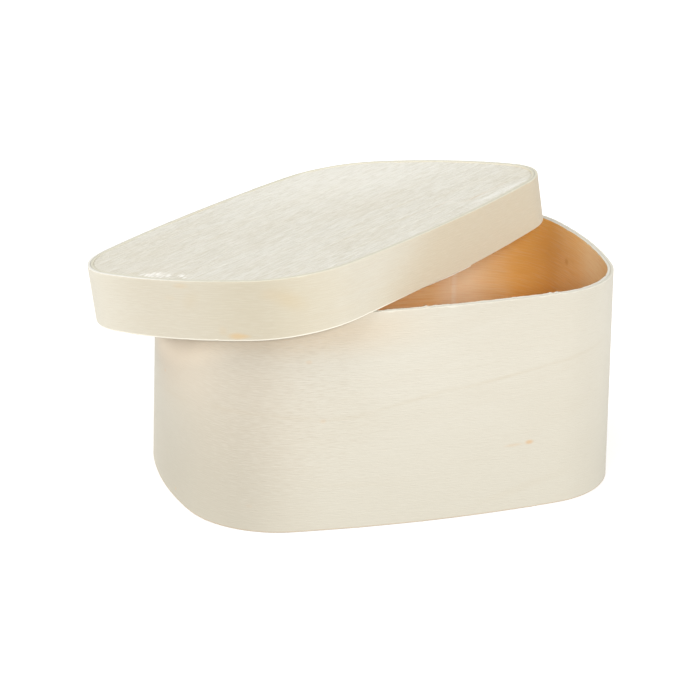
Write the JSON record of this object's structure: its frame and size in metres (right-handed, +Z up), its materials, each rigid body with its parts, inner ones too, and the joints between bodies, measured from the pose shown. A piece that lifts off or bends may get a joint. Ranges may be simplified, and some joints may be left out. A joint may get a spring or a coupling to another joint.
{
  "type": "bentwood box",
  "caption": "Small rounded oblong bentwood chip box of bent wood veneer, with a loose slip-on lid laid askew on its open rim",
  "frame": {"origin": "middle of the box's underside, on the surface it stands on", "axes": "+X along the box's length, +Y from its front to its back, +Z up"},
  "size_m": [0.1691, 0.1486, 0.0911],
  "materials": {
    "box_veneer": "bare planed wood",
    "lining_veneer": "bare planed wood, warm",
    "bottom_board": "bare sawn wood",
    "lid_veneer": "bare planed wood",
    "lid_board": "bare rough-sawn wood"
  },
  "bodies": {
    "box": {"box_outer_band": "box_veneer", "box_inner_band": "lining_veneer", "box_bottom_board": "bottom_board"},
    "lid": {"lid_outer_band": "lid_veneer", "lid_inner_band": "lid_veneer", "lid_top_board": "lid_board"}
  },
  "joints": [
    {"name": "lid_lift", "type": "slide", "parent": "box", "child": "lid", "axis": [0, 0, 1], "range_m": [0, 0.08]}
  ]
}
